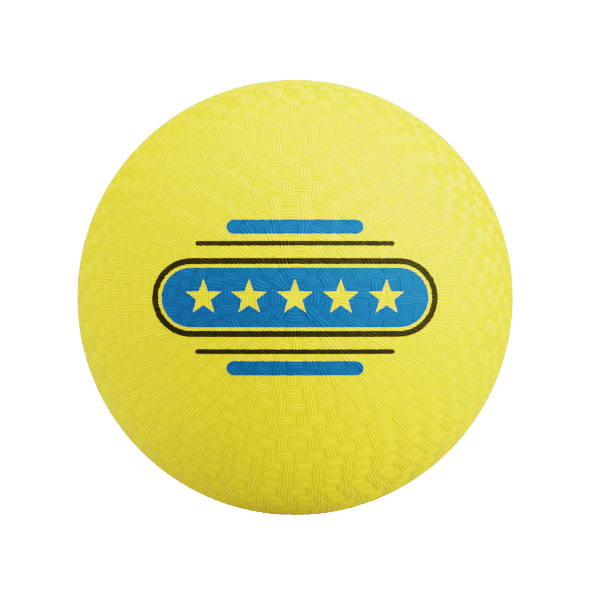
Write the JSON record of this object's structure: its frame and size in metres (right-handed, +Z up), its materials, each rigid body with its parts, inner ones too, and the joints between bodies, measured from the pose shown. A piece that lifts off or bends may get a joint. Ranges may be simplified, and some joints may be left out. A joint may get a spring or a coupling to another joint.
{
  "type": "rubber playground ball",
  "caption": "Round inflatable rubber ball with an embossed basket-weave cover, a two-colour print and an inflating valve.",
  "frame": {"origin": "centre of the ball", "axes": "+Z up; -Y is the front, through the middle of the print; +Y is along the inflating valve, out of the ball; +X to the right of the print"},
  "size_m": [0.2159, 0.2159, 0.2158],
  "materials": {
    "yellow_rubber": "satin, embossed",
    "ply_rubber": "matt",
    "nylon_thread": "wound thread",
    "butyl_rubber": "matt",
    "patch_fabric": "rubberised cloth",
    "valve_rubber": "satin",
    "plug_rubber": "satin",
    "black_ink": "screen-printed",
    "blue_ink": "screen-printed"
  },
  "bodies": {
    "root": {"cover_front": "yellow_rubber", "cover_back": "yellow_rubber", "inner_ply_front": "ply_rubber", "inner_ply_back": "ply_rubber", "nylon_winding": "nylon_thread", "bladder": "butyl_rubber", "valve_patch": "patch_fabric", "valve_housing": "valve_rubber", "valve_plug": "plug_rubber", "print_black": "black_ink", "print_blue": "blue_ink"}
  },
  "joints": []
}
